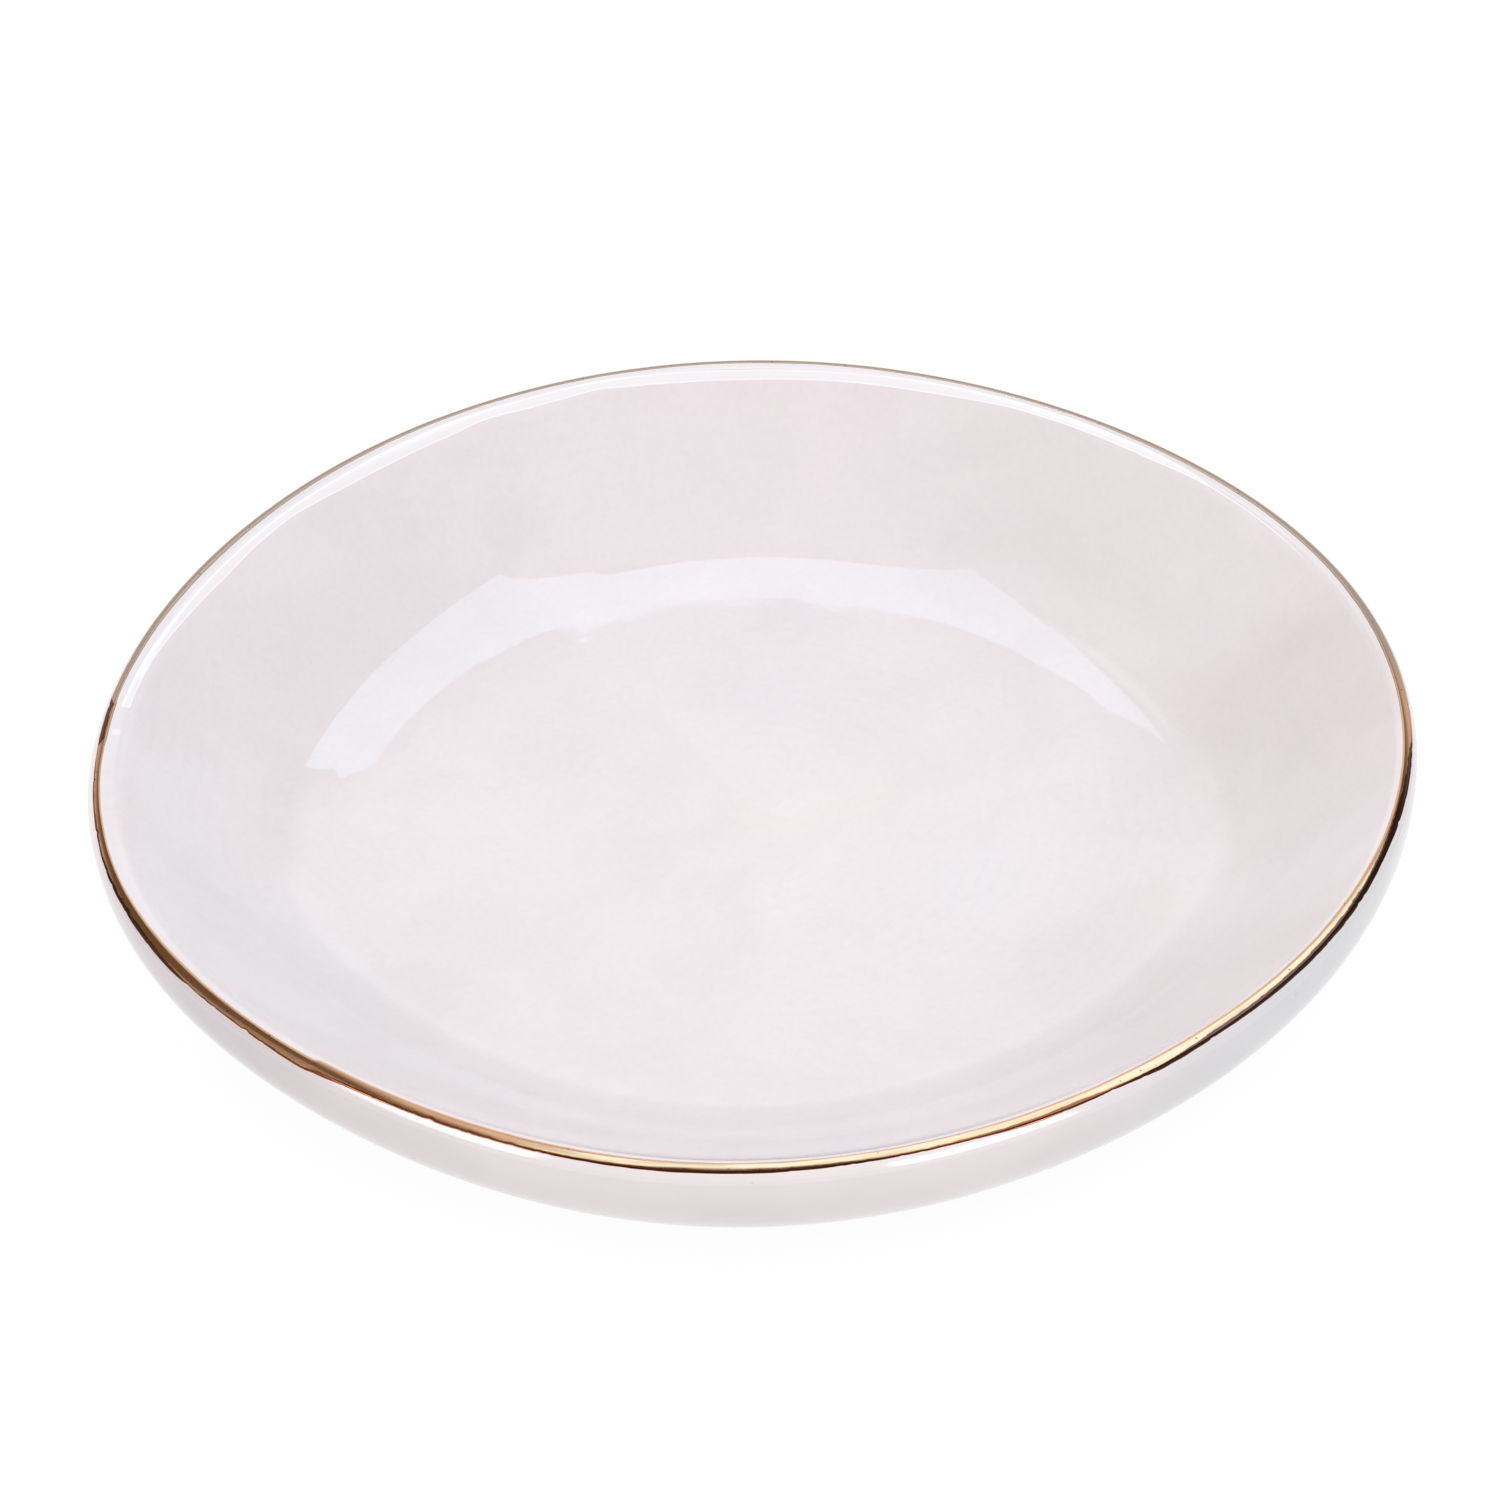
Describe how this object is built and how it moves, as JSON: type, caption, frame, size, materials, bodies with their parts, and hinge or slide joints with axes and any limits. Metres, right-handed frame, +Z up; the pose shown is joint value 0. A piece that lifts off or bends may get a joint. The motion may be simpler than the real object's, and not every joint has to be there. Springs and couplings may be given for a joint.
{
  "type": "jewelry dish",
  "caption": "Shallow round hand-formed ceramic dish with a pearl glaze, a rounded gilded lip and a low foot ring, for rings and small jewelry.",
  "frame": {"origin": "middle of the dish's bounding box, on the surface that the foot ring stands on", "axes": "+Z up out of the dish; +Y away from the picture's camera; +X to the picture's right"},
  "size_m": [0.141, 0.1412, 0.02],
  "materials": {
    "fired_clay": "matte, unglazed fired clay",
    "pearl_glaze": "glossy white glaze with a faint pink and grey-green pearl lustre",
    "white_glaze": "glossy warm white glaze",
    "bright_gold": "bright painted gold with an uneven brushed edge"
  },
  "bodies": {
    "root": {"clay_body": "fired_clay", "inside_glaze": "pearl_glaze", "outside_glaze": "white_glaze", "foot_well_glaze": "white_glaze", "gold_rim_band": "bright_gold"}
  },
  "joints": []
}
